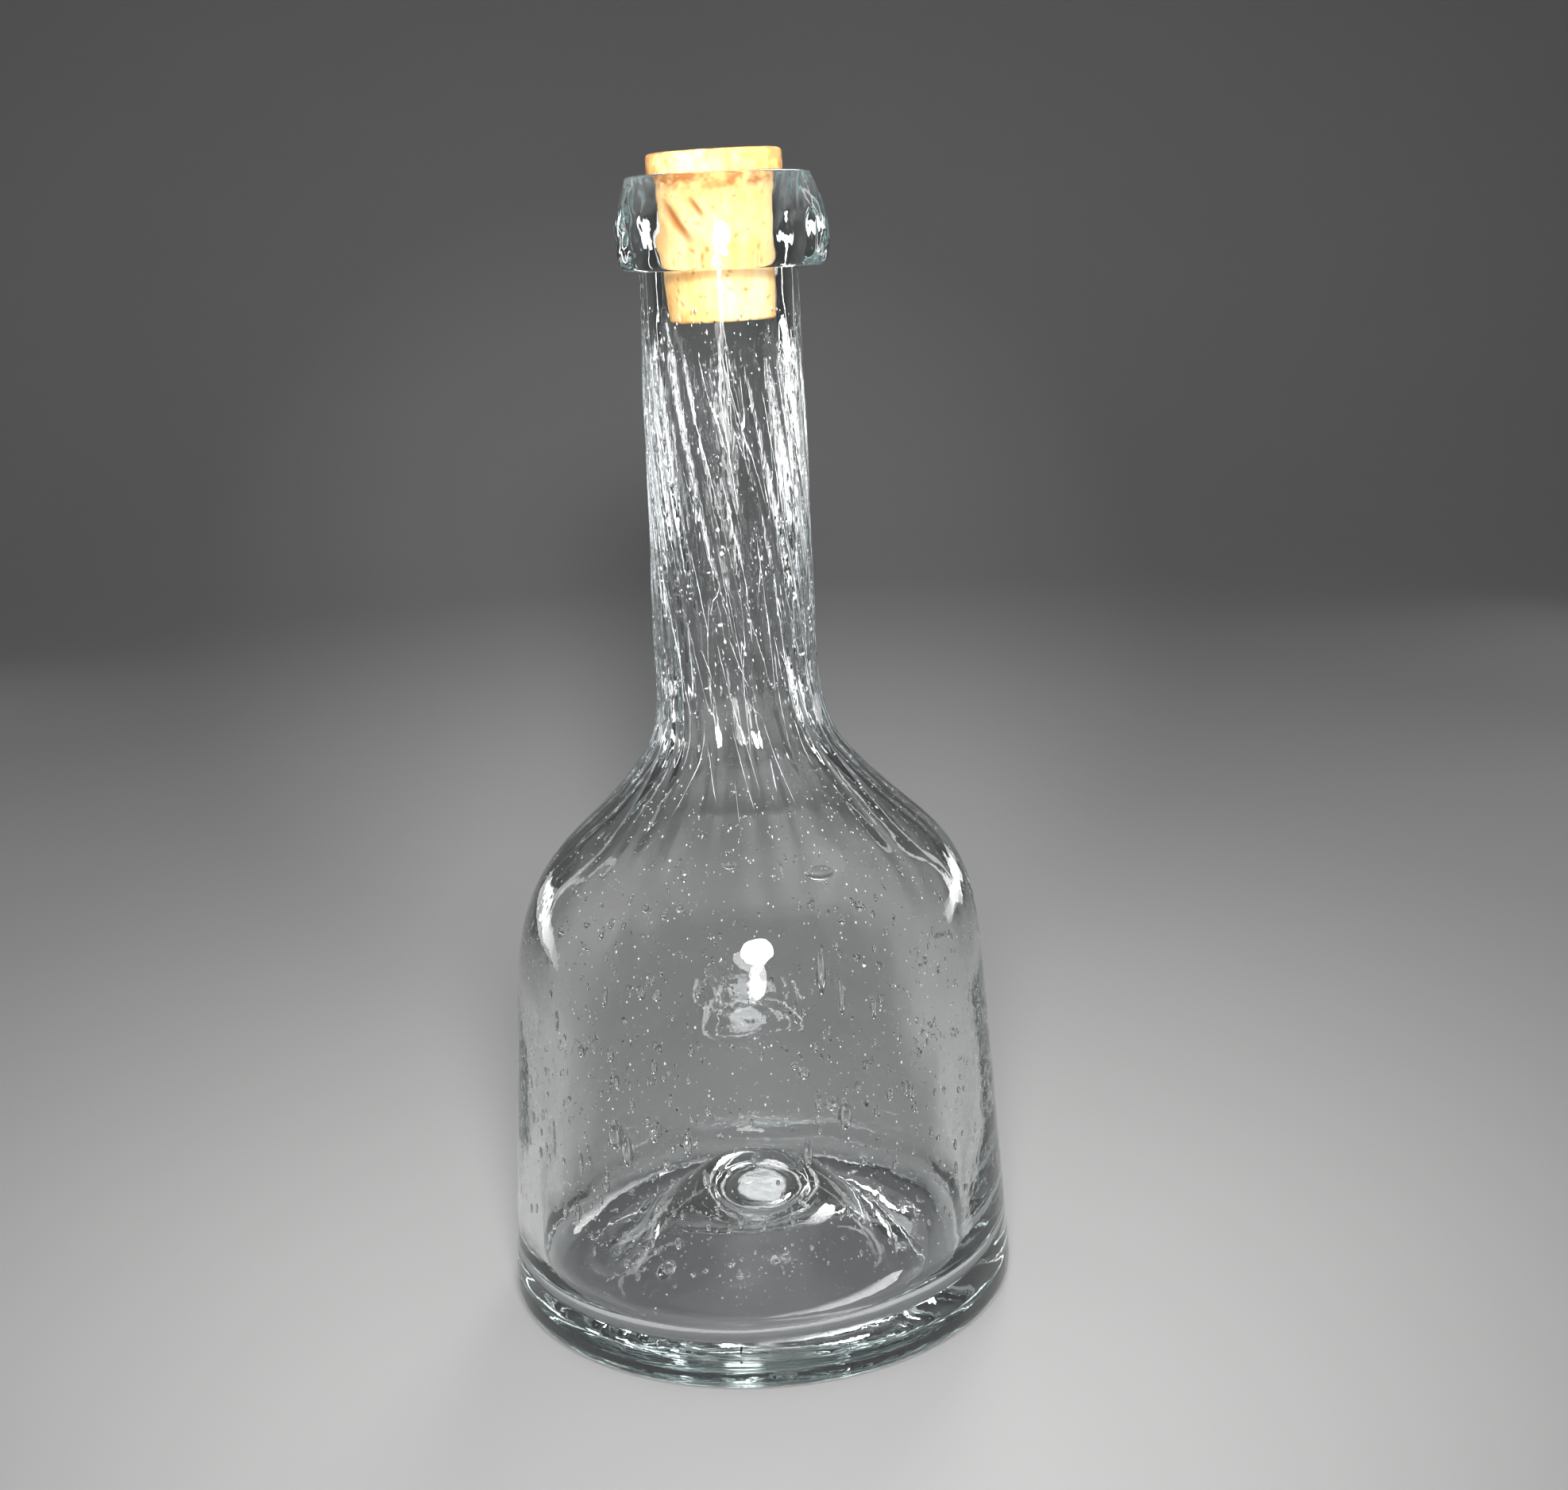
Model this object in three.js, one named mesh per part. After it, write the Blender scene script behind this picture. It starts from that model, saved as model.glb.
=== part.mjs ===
// A hand-blown glass carafe: a punted body drawn into a ridged neck, a band of hot glass laid round
// its lip, and a tapered cork. Millimetres, +Z up, standing on z = 0 with the body's axis at the origin.
import * as THREE from 'three';

// Body, from the table up
const BODY_RADIUS = 63;
const HEEL_INSET = 9;
const HEEL_HEIGHT = 6;
const CONTACT_WIDTH = 8;
const BODY_HEIGHT = 83;
const BODY_TAPER = 0.068;
const BODY_WALL = 3.8;

// Shoulder, up to where its curve turns over, and the root of the neck above that
const SHOULDER_RISE = 47;
const SHOULDER_BELLY = 31;
const TURN_SLOPE = 0.93;
const TURN_LENGTH = 19.5;
const ROOT_RISE = 32.5;
const ROOT_FLARE = 12.1;
const ROOT_TURN_LENGTH = 14.4;
const ROOT_NECK_LENGTH = 19.3;
const SHOULDER_LEAN = 2;

// Neck, its bore, and the ridges drawn out along it
const NECK_LENGTH = 110.2;
const NECK_WALL = 4.7;
const NECK_TAPER = 0.01;
const NECK_TWIST_DEGREES = 54;
const RIDGES = 24;
const RIDGE_COLUMNS = 3;
const RIDGE_HEIGHT = 0.6;
const RIDGE_RUNOUT = 24;
const RIDGE_FADE = 12;
const RIDGE_TOP_FADE = 30;
const RIDGE_TOP_PLAIN = 12;
const RIM_ROUNDING = 0.9;

// Floor and the punt pushed up under it, with the scar that the pontil rod leaves
const FLOOR_THICKNESS = 8;
const CORNER_RADIUS = 12;
const CORNER_WALL = 6.4;
const PUNT_RISE = 18;
const PUNT_WALL = 13;
const PUNT_CROWN = 13;
const PUNT_FOOT = 16;
const FLOOR_LEAN = 0.8;
const FLOOR_SHIFT = 1.4;
const FLOOR_REACH = 40;
const PONTIL_RADIUS = 8;
const PONTIL_HEIGHT = 0.4;
const PONTIL_EDGE = 2;

// Band of glass round the lip
const COLLAR_HEIGHT = 21;
const COLLAR_BEAD = 6.2;
const COLLAR_BROW = 3.3;
const COLLAR_FOOT_ROUNDING = 5;
const COLLAR_TOP_ROUNDING = 1;
const COLLAR_RIBS = 18;
const COLLAR_RIB_COLUMNS = 4;
const COLLAR_RIB_HEIGHT = 0.3;
const COLLAR_TWIST_DEGREES = 24;
const COLLAR_SHIFT = 1.3;

// Cork
const STOPPER_LENGTH = 38;
const HEAD_HEIGHT = 5.2;
const HEAD_OVERHANG = 1.4;
const HEAD_ROUNDING = 1.3;
const STOPPER_TAPER = 0.059;
const STOPPER_CHAMFER = 0.6;

// Mouth that the cork wedges into, and the clearances between pieces
const MOUTH_RADIUS = 14.6;
const MOUTH_DEPTH = 20;
const STOPPER_CLEARANCE = 0.3;
const SEAT_CLEARANCE = 0.3;
const COLLAR_CLEARANCE = 0.3;

// Facets round the cork, and along each stretch of an outline
const STOPPER_COLUMNS = 48;
const STEPS = {
  punt: 6, heel: 4, wall: 2, shoulder: 7, root: 6, neck: 5, rim: 2,
  bore: 4, innerRoot: 5, innerShoulder: 6, corner: 4, floor: 6,
  collarFoot: 4, collarSide: 4, collarTop: 3, collarBore: 4, head: 4,
};
const SAME_POINT = 1e-6;

// Heights and radii that follow from the sizes above
const turnHeight = BODY_HEIGHT + SHOULDER_RISE;
const rootHeight = turnHeight + ROOT_RISE;
const rimHeight = rootHeight + NECK_LENGTH;
const collarFoot = rimHeight - COLLAR_HEIGHT;
const boreRadius = MOUTH_RADIUS - STOPPER_TAPER * MOUTH_DEPTH;
const rimRadius = boreRadius + NECK_WALL;
const neckRadius = (height) => rimRadius + NECK_TAPER * (rimHeight - height);
const wallRadius = (height) => BODY_RADIUS - BODY_TAPER * (height - HEEL_HEIGHT);
const shoulderRadius = wallRadius(BODY_HEIGHT);
const rootRadius = neckRadius(rootHeight);
const turnRadius = rootRadius + ROOT_FLARE;

const { degToRad, lerp, smoothstep } = THREE.MathUtils;
const point = (radius, height) => new THREE.Vector2(radius, height);
const line = (from, to, steps) => new THREE.LineCurve(from, to).getPoints(steps);
const bend = (from, corner, to, steps) => new THREE.QuadraticBezierCurve(from, corner, to).getPoints(steps);
const sweep = (points, steps) => new THREE.CubicBezierCurve(...points).getPoints(steps);

// Joins stretches of an outline, leaving out the point that two neighbours share.
function join(...stretches) {
  const outline = [];
  for (const corner of stretches.flat()) {
    const last = outline.at(-1);
    if (!last || last.distanceTo(corner) > SAME_POINT) outline.push(corner);
  }
  return outline;
}

// Turns an outline of (radius, height) points round +Z. surface says where each point of the outline
// goes in each column: its radius, its angle, its height and how far it leans towards +X.
function revolve(outline, columns, surface) {
  const lathe = new THREE.LatheGeometry(outline, columns);
  const position = lathe.attributes.position;
  for (let column = 0; column <= columns; column += 1) {
    for (let row = 0; row < outline.length; row += 1) {
      const angle = (2 * Math.PI * column) / columns;
      const place = surface(outline[row], row, column % columns, angle);
      const x = place.radius * Math.sin(place.angle) + place.lean;
      const y = -place.radius * Math.cos(place.angle);
      position.setXYZ(column * outline.length + row, x, y, place.height);
    }
  }
  return lathe;
}

// The carafe's outer outline as two curves, from the top of the body wall to the top of the neck's root.
function shoulderCurves() {
  const wallTop = point(shoulderRadius, BODY_HEIGHT);
  const turn = point(turnRadius, turnHeight);
  const neckFoot = point(rootRadius, rootHeight);
  const turnWay = point(-TURN_SLOPE, 1).normalize();
  const belly = point(shoulderRadius - BODY_TAPER * SHOULDER_BELLY, BODY_HEIGHT + SHOULDER_BELLY);
  const neckLead = point(rootRadius + NECK_TAPER * ROOT_NECK_LENGTH, rootHeight - ROOT_NECK_LENGTH);
  const over = turn.clone().addScaledVector(turnWay, -TURN_LENGTH);
  const under = turn.clone().addScaledVector(turnWay, ROOT_TURN_LENGTH);
  return {
    shoulder: new THREE.CubicBezierCurve(wallTop, belly, over, turn),
    root: new THREE.CubicBezierCurve(turn, under, neckLead, neckFoot),
  };
}

// Follows a curve of the outer outline downwards at the wall's thickness inside it.
function insideOf(curve, steps, wallAtFoot, wallAtTop) {
  const points = [];
  for (let step = steps; step >= 0; step -= 1) {
    const along = step / steps;
    const way = curve.getTangent(along);
    const inward = point(-way.y, way.x);
    const wall = lerp(wallAtFoot, wallAtTop, along);
    points.push(curve.getPoint(along).addScaledVector(inward, wall));
  }
  return points;
}

function outerOutline() {
  const { shoulder, root } = shoulderCurves();
  const ringOuter = BODY_RADIUS - HEEL_INSET;
  const ringInner = ringOuter - CONTACT_WIDTH;
  const scarEdge = PONTIL_RADIUS + PONTIL_EDGE;
  const scar = [
    point(0, PUNT_RISE),
    point(PONTIL_RADIUS - PONTIL_EDGE, PUNT_RISE),
    point(PONTIL_RADIUS, PUNT_RISE - PONTIL_HEIGHT),
  ];
  const punt = sweep([
    point(scarEdge, PUNT_RISE),
    point(scarEdge + PUNT_CROWN, PUNT_RISE),
    point(ringInner - PUNT_FOOT, 0),
    point(ringInner, 0),
  ], STEPS.punt);
  const heelTop = point(BODY_RADIUS, HEEL_HEIGHT);
  const heel = bend(point(ringOuter, 0), point(BODY_RADIUS, 0), heelTop, STEPS.heel);
  const wall = line(heelTop, point(shoulderRadius, BODY_HEIGHT), STEPS.wall);
  const underCollar = point(neckRadius(collarFoot), collarFoot);
  const neck = line(point(rootRadius, rootHeight), underCollar, STEPS.neck);
  const neckEnd = point(rimRadius, rimHeight - RIM_ROUNDING);
  const rimEdge = point(rimRadius - RIM_ROUNDING, rimHeight);
  const rim = bend(neckEnd, point(rimRadius, rimHeight), rimEdge, STEPS.rim);
  const body = join(scar, punt, heel, wall, shoulder.getPoints(STEPS.shoulder));
  return join(body, root.getPoints(STEPS.root), neck, rim);
}

function innerOutline() {
  const { shoulder, root } = shoulderCurves();
  const turnWall = (BODY_WALL + rootRadius - boreRadius) / 2;
  const mouthFoot = point(boreRadius, rimHeight - MOUTH_DEPTH);
  const mouth = point(MOUTH_RADIUS, rimHeight - RIM_ROUNDING);
  const rimEdge = point(MOUTH_RADIUS + RIM_ROUNDING, rimHeight);
  const rim = bend(rimEdge, point(MOUTH_RADIUS, rimHeight), mouth, STEPS.rim);
  const inRoot = insideOf(root, STEPS.innerRoot, turnWall, rootRadius - boreRadius);
  const inShoulder = insideOf(shoulder, STEPS.innerShoulder, BODY_WALL, turnWall);
  const bore = line(mouthFoot, inRoot[0], STEPS.bore);
  const cornerTop = FLOOR_THICKNESS + CORNER_RADIUS;
  const cornerRadius = wallRadius(cornerTop) - CORNER_WALL;
  const wall = line(inShoulder.at(-1), point(cornerRadius, cornerTop), STEPS.wall);
  const edge = point(cornerRadius - CORNER_RADIUS, FLOOR_THICKNESS);
  const corner = bend(wall.at(-1), point(cornerRadius, FLOOR_THICKNESS), edge, STEPS.corner);
  const crown = PUNT_RISE + PUNT_WALL;
  const floor = sweep([
    edge,
    point(edge.x - PUNT_FOOT, FLOOR_THICKNESS),
    point(PONTIL_RADIUS + PUNT_CROWN, crown),
    point(0, crown),
  ], STEPS.floor);
  return join(rim, [mouth, mouthFoot], bore, inRoot, inShoulder, wall, corner, floor);
}

// How far the ridges stand out at a height: none on the body, full on the neck, none from the cork's foot up.
function ridgeStrength(height) {
  const start = smoothstep(height, turnHeight - RIDGE_RUNOUT, turnHeight + RIDGE_FADE);
  const end = smoothstep(height, collarFoot - RIDGE_TOP_FADE, collarFoot - RIDGE_TOP_PLAIN);
  return start * (1 - end);
}

// The shoulder was drawn a little to one side of the body's axis.
function shoulderLean(height) {
  const rise = SHOULDER_RISE + ROOT_RISE;
  const along = THREE.MathUtils.clamp((height - BODY_HEIGHT) / rise, 0, 1);
  return SHOULDER_LEAN * Math.sin(Math.PI * along) ** 2;
}

function glassVessel() {
  const outer = outerOutline();
  const outline = join(outer, innerOutline());
  return revolve(outline, RIDGES * RIDGE_COLUMNS, ({ x: radius, y: height }, row, column, angle) => {
    const outside = row < outer.length;
    const twist = -degToRad(NECK_TWIST_DEGREES) * smoothstep(height, turnHeight, rimHeight);
    const ridge = outside && column % RIDGE_COLUMNS === 0 ? RIDGE_HEIGHT * ridgeStrength(height) : 0;
    const nearFloor = outside ? 0 : 1 - smoothstep(height, FLOOR_THICKNESS, FLOOR_THICKNESS + FLOOR_REACH);
    const slope = (FLOOR_LEAN / BODY_RADIUS) * nearFloor;
    return {
      radius: radius + ridge,
      angle: angle + twist,
      height: height + slope * radius * Math.sin(angle),
      lean: shoulderLean(height) - FLOOR_SHIFT * nearFloor,
    };
  });
}

// The band was laid on by hand, thicker on one side: most at its foot, half as much at the lip.
function lipCollar() {
  const bore = neckRadius(collarFoot) + COLLAR_CLEARANCE;
  const bead = neckRadius(collarFoot) + COLLAR_BEAD;
  const brow = rimRadius + COLLAR_BROW;
  const beadHeight = collarFoot + COLLAR_FOOT_ROUNDING;
  const browHeight = rimHeight - COLLAR_TOP_ROUNDING;
  const footEdge = point((bore + bead) / 2, collarFoot);
  const foot = bend(footEdge, point(bead, collarFoot), point(bead, beadHeight), STEPS.collarFoot);
  const midHeight = (beadHeight + browHeight) / 2;
  const browEdge = point(brow, browHeight);
  const side = bend(point(bead, beadHeight), point(bead, midHeight), browEdge, STEPS.collarSide);
  const topEdge = point(brow - COLLAR_TOP_ROUNDING, rimHeight);
  const top = bend(browEdge, point(brow, rimHeight), topEdge, STEPS.collarTop);
  const inside = line(point(bore, rimHeight), point(bore, collarFoot), STEPS.collarBore);
  const outline = join(foot, side, top, inside, [footEdge]);
  const outerRows = outline.findIndex((corner) => corner.x === bore);
  const columns = COLLAR_RIBS * COLLAR_RIB_COLUMNS;
  return revolve(outline, columns, ({ x: radius, y: height }, row, column, angle) => {
    const along = (height - collarFoot) / COLLAR_HEIGHT;
    const crest = Math.cos((2 * Math.PI * column) / COLLAR_RIB_COLUMNS);
    const outside = row < outerRows || row === outline.length - 1;
    const rib = outside ? COLLAR_RIB_HEIGHT * crest * Math.sin(Math.PI * along) : 0;
    const lean = outside ? COLLAR_SHIFT * (1 - along / 2) : 0;
    return { radius: radius + rib, angle: angle - degToRad(COLLAR_TWIST_DEGREES) * along, height, lean };
  });
}

function corkStopper() {
  const seat = rimHeight + SEAT_CLEARANCE;
  const top = seat + HEAD_HEIGHT;
  const foot = top - STOPPER_LENGTH;
  const shankTop = MOUTH_RADIUS - STOPPER_CLEARANCE;
  const shankFoot = shankTop - STOPPER_TAPER * (seat - foot);
  const head = shankTop + HEAD_OVERHANG;
  const outline = join(
    [point(0, foot), point(shankFoot - STOPPER_CHAMFER, foot), point(shankFoot, foot + STOPPER_CHAMFER)],
    [point(shankTop, seat), point(head, seat)],
    bend(point(head, top - HEAD_ROUNDING), point(head, top), point(head - HEAD_ROUNDING, top), STEPS.head),
    [point(0, top)],
  );
  return revolve(outline, STOPPER_COLUMNS, ({ x: radius, y: height }, row, column, angle) => (
    { radius, angle, height, lean: 0 }
  ));
}

function piece(name, geometry, material) {
  const mesh = new THREE.Mesh(geometry, material);
  mesh.name = name;
  return mesh;
}

const glass = new THREE.MeshStandardMaterial({
  color: 0xdde6e2, roughness: 0.04, metalness: 0, transparent: true, opacity: 0.35,
});
const cork = new THREE.MeshStandardMaterial({ color: 0xc98f52, roughness: 0.85, metalness: 0 });

const carafe = new THREE.Group();
carafe.add(piece('glass_vessel', glassVessel(), glass));
carafe.add(piece('lip_collar', lipCollar(), glass));
carafe.add(piece('cork_stopper', corkStopper(), cork));

export default carafe;
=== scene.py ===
"""Visual model of a hand-blown glass carafe with a cork.

The glass is one mesh, turned from its outline like the real piece and then roughened: drawn ridges on
the neck, ribs and lumps on the lip band, waves in the walls, and the seeds (bubbles) as real cavities
inside the glass. Sizes are in millimetres and turned into metres where vertices are made. The lights
and the camera are placed in metres. A named angle is in radians, and a table says where it gives
degrees.
"""
from math import cos, pi, radians, sin

import bpy
import numpy as np
from mathutils import Matrix, Vector, noise


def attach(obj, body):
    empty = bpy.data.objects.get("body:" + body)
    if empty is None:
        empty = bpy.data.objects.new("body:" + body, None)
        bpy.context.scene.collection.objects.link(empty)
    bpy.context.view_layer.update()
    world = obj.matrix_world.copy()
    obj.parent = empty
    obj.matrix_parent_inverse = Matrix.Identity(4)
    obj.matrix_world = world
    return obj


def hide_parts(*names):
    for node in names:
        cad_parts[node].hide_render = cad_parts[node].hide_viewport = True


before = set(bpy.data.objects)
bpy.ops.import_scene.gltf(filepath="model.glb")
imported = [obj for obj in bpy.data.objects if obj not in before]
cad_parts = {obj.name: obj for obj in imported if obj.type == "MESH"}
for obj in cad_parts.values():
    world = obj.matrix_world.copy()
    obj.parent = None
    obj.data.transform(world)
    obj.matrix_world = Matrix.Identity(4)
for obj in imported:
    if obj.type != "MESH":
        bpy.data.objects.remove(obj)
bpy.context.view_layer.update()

MM = 0.001
SAME_PLACE = 1e-6

# Body, from the table up
BODY_RADIUS = 63.0
HEEL_INSET = 9.0
HEEL_HEIGHT = 6.0
CONTACT_WIDTH = 8.0
BODY_HEIGHT = 83.0
BODY_TAPER = 0.068
BODY_WALL = 3.8

# Shoulder, up to where its curve turns over, and the root of the neck above that
SHOULDER_RISE = 47.0
SHOULDER_BELLY = 31.0
TURN_SLOPE = 0.93
TURN_LENGTH = 19.5
ROOT_RISE = 32.5
ROOT_FLARE = 12.1
ROOT_TURN_LENGTH = 14.4
ROOT_NECK_LENGTH = 19.3
SHOULDER_LEAN = 2.0

# Neck
NECK_LENGTH = 110.2
NECK_WALL = 4.7
NECK_TAPER = 0.01
NECK_TWIST = radians(54)
RIM_ROUNDING = 0.9

# Ridges drawn up the neck: how far they run out below and above, and how uneven they are, in shares of a
# pitch for place and width
RIDGES = 24
RIDGE_HEIGHT = 0.6
RIDGE_RUNOUT = 24.0
RIDGE_FADE = 12.0
RIDGE_TOP_FADE = 30.0
RIDGE_TOP_PLAIN = 12.0
RIDGE_STRAY = 0.16
RIDGE_WIDTHS = (0.13, 0.22)
RIDGE_STRENGTHS = (0.45, 1.0)

# Fine lines between the ridges and in the bore. Those in the bore fade between two depths under the rim.
STRIA_HEIGHT = 0.13
STRIA_RUNOUT = 1.6 * RIDGE_RUNOUT
STRIA_LOSS_AT_CORK = 0.8
BORE_STRIA_HEIGHT = 0.12
BORE_FADE = 36.0
BORE_PLAIN = 30.0

# The ripples of the neck's surface fade between these two depths under the rim
RIPPLE_FADE = 42.0
RIPPLE_PLAIN = 34.0

# Floor, punt and the ring that the pontil left
FLOOR_THICKNESS = 8.0
CORNER_RADIUS = 12.0
CORNER_WALL = 6.4
PUNT_RISE = 18.0
PUNT_WALL = 13.0
PUNT_CROWN = 13.0
PUNT_FOOT = 16.0
FLOOR_LEAN = 0.8
FLOOR_SHIFT = 1.4
FLOOR_REACH = 40.0
PONTIL_RADIUS = 8.0
PONTIL_HEIGHT = 0.4
PONTIL_EDGE = 2.0

# Band of glass round the lip
COLLAR_HEIGHT = 21.0
COLLAR_BEAD = 6.2
COLLAR_BROW = 3.3
COLLAR_FOOT_ROUNDING = 5.0
COLLAR_TOP_ROUNDING = 1.0
COLLAR_RIBS = 18
COLLAR_RIB_HEIGHT = 0.3
COLLAR_RIB_BIAS = 1.5
COLLAR_TWIST = radians(24)
COLLAR_SHIFT = 1.3
COLLAR_SHIFT_FROM = 0.3
COLLAR_SHIFT_FULL = 2.5
COLLAR_FILLET = 0.5
COLLAR_CREVICE = 1.3
COLLAR_LUMP = 0.65
COLLAR_LUMP_SIZE = 3.4
COLLAR_LUMP_IN_FRONT = 0.1
COLLAR_LUMP_CLEAR = 1.5

# Cork and mouth
STOPPER_LENGTH = 38.0
HEAD_HEIGHT = 5.2
HEAD_OVERHANG = 1.4
HEAD_ROUNDING = 1.3
HEAD_UNDER_ROUNDING = 0.3
STOPPER_TAPER = 0.059
STOPPER_CHAMFER = 0.6
MOUTH_RADIUS = 14.6
MOUTH_DEPTH = 20.0
STOPPER_CLEARANCE = 0.3
SEAT_CLEARANCE = 0.3

# Facets
GLASS_COLUMNS = 192
COARSE_BELOW = 94.0
CORK_COLUMNS = 300

TURN_TOP = BODY_HEIGHT + SHOULDER_RISE
ROOT_TOP = TURN_TOP + ROOT_RISE
RIM = ROOT_TOP + NECK_LENGTH
COLLAR_FOOT = RIM - COLLAR_HEIGHT
NECK_END = COLLAR_FOOT - COLLAR_FILLET
BORE_RADIUS = MOUTH_RADIUS - STOPPER_TAPER * MOUTH_DEPTH
RIM_RADIUS = BORE_RADIUS + NECK_WALL

rng = np.random.default_rng(11)


# Small helpers for outlines, which are arrays of (radius, height)

def neck_radius(height):
    return RIM_RADIUS + NECK_TAPER * (RIM - height)


def wall_radius(height):
    return BODY_RADIUS - BODY_TAPER * (height - HEEL_HEIGHT)


def smoothstep(value, low, high):
    t = np.clip((value - low) / (high - low), 0, 1)
    return t * t * (3 - 2 * t)


def sweep(points, steps):
    """A straight line, quadratic or cubic Bezier curve, by how many points it has."""
    t = np.linspace(0, 1, steps + 1)[:, None]
    s = 1 - t
    weights = {2: (s, t), 3: (s * s, 2 * s * t, t * t), 4: (s**3, 3 * s * s * t, 3 * s * t * t, t**3)}
    return sum(w * np.array(p, float) for w, p in zip(weights[len(points)], points))


def join(*stretches):
    rows = [stretches[0][0]]
    for stretch in stretches:
        for row in stretch:
            if np.hypot(*(np.array(row) - rows[-1])) > SAME_PLACE:
                rows.append(np.array(row, float))
    return np.array(rows)


def inside_of(points, steps, wall_at_foot, wall_at_top):
    """A curve followed downwards at the wall's thickness inside it."""
    curve = sweep(points, steps)
    way = np.gradient(curve, axis=0)
    way /= np.linalg.norm(way, axis=1)[:, None]
    wall = np.linspace(wall_at_foot, wall_at_top, steps + 1)[:, None]
    return (curve + np.stack([-way[:, 1], way[:, 0]], 1) * wall)[::-1]


# The glass outline

shoulder_radius = wall_radius(BODY_HEIGHT)
root_radius = neck_radius(ROOT_TOP)
turn = np.array([root_radius + ROOT_FLARE, TURN_TOP])
turn_way = np.array([-TURN_SLOPE, 1]) / np.hypot(TURN_SLOPE, 1)
SHOULDER_CURVE = [
    (shoulder_radius, BODY_HEIGHT),
    (shoulder_radius - BODY_TAPER * SHOULDER_BELLY, BODY_HEIGHT + SHOULDER_BELLY),
    turn - turn_way * TURN_LENGTH,
    turn,
]
ROOT_CURVE = [
    turn,
    turn + turn_way * ROOT_TURN_LENGTH,
    (root_radius + NECK_TAPER * ROOT_NECK_LENGTH, ROOT_TOP - ROOT_NECK_LENGTH),
    (root_radius, ROOT_TOP),
]


def punt_outline():
    """From the middle of the punt, over the ring that the pontil left and down to the table."""
    ring_inner = BODY_RADIUS - HEEL_INSET - CONTACT_WIDTH
    scar_inner = PONTIL_RADIUS - PONTIL_EDGE
    scar_outer = PONTIL_RADIUS + PONTIL_EDGE
    # The curve passes half way to this point, so the ring stands PONTIL_HEIGHT proud
    scar_pull = PUNT_RISE - 2 * PONTIL_HEIGHT
    return [
        sweep([(0, PUNT_RISE), (scar_inner, PUNT_RISE)], 4),
        sweep([(scar_inner, PUNT_RISE), (PONTIL_RADIUS, scar_pull), (scar_outer, PUNT_RISE)], 8),
        sweep([(scar_outer, PUNT_RISE), (scar_outer + PUNT_CROWN, PUNT_RISE), (ring_inner - PUNT_FOOT, 0),
               (ring_inner, 0)], 26),
    ]


def collar_outline():
    """From the crevice under the lip band, round its bead and up its brow to the lip."""
    neck_foot = neck_radius(COLLAR_FOOT)
    bead = neck_foot + COLLAR_BEAD
    bead_height = COLLAR_FOOT + COLLAR_FOOT_ROUNDING
    brow = RIM_RADIUS + COLLAR_BROW
    brow_height = RIM - COLLAR_TOP_ROUNDING
    mid_height = (bead_height + brow_height) / 2
    crevice = COLLAR_FOOT + COLLAR_CREVICE
    middle = neck_foot + COLLAR_CREVICE / 2
    under = neck_foot + COLLAR_CREVICE
    half_way = (under + bead) / 2
    return [
        sweep([(neck_foot, NECK_END), (neck_foot, crevice), (middle, crevice)], 5),
        sweep([(middle, crevice), (under, crevice), (under, COLLAR_FOOT)], 4),
        sweep([(under, COLLAR_FOOT), (half_way, COLLAR_FOOT)], 2),
        sweep([(half_way, COLLAR_FOOT), (bead, COLLAR_FOOT), (bead, bead_height)], 9),
        sweep([(bead, bead_height), (bead, mid_height), (brow, brow_height)], 12),
        sweep([(brow, brow_height), (brow, RIM), (brow - COLLAR_TOP_ROUNDING, RIM)], 6),
        sweep([(brow - COLLAR_TOP_ROUNDING, RIM), (RIM_RADIUS - RIM_ROUNDING, RIM)], 3),
    ]


def outer_outline():
    """From the middle of the punt, under the heel and up to the top of the lip."""
    ring_outer = BODY_RADIUS - HEEL_INSET
    ring_inner = ring_outer - CONTACT_WIDTH
    return join(
        *punt_outline(),
        sweep([(ring_inner, 0), (ring_outer, 0)], 3),
        sweep([(ring_outer, 0), (BODY_RADIUS, 0), (BODY_RADIUS, HEEL_HEIGHT)], 12),
        sweep([(BODY_RADIUS, HEEL_HEIGHT), (shoulder_radius, BODY_HEIGHT)], 28),
        sweep(SHOULDER_CURVE, 40),
        sweep(ROOT_CURVE, 30),
        sweep([(root_radius, ROOT_TOP), (neck_radius(COLLAR_FOOT), NECK_END)], 34),
        *collar_outline(),
    )


def inner_outline():
    """From the top of the lip, down the bore and over the floor to its crown."""
    turn_wall = (BODY_WALL + root_radius - BORE_RADIUS) / 2
    in_root = inside_of(ROOT_CURVE, 16, turn_wall, root_radius - BORE_RADIUS)
    in_shoulder = inside_of(SHOULDER_CURVE, 26, BODY_WALL, turn_wall)
    lip = (MOUTH_RADIUS + RIM_ROUNDING, RIM)
    throat = (MOUTH_RADIUS, RIM - RIM_ROUNDING)
    bore = (BORE_RADIUS, RIM - MOUTH_DEPTH)
    corner_top = FLOOR_THICKNESS + CORNER_RADIUS
    corner_radius = wall_radius(corner_top) - CORNER_WALL
    corner = (corner_radius, corner_top)
    edge = (corner_radius - CORNER_RADIUS, FLOOR_THICKNESS)
    crown = PUNT_RISE + PUNT_WALL
    crown_edge = (PONTIL_RADIUS + PUNT_CROWN, crown)
    return join(
        sweep([(RIM_RADIUS - RIM_ROUNDING, RIM), lip], 2),
        sweep([lip, (MOUTH_RADIUS, RIM), throat], 5),
        sweep([throat, bore], 6),
        sweep([bore, in_root[0]], 32),
        in_root,
        in_shoulder,
        sweep([in_shoulder[-1], corner], 22),
        sweep([corner, (corner_radius, FLOOR_THICKNESS), edge], 10),
        sweep([edge, (edge[0] - PUNT_FOOT, FLOOR_THICKNESS), crown_edge, (0, crown)], 28),
    )


OUTER = outer_outline()
INNER = inner_outline()

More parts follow.
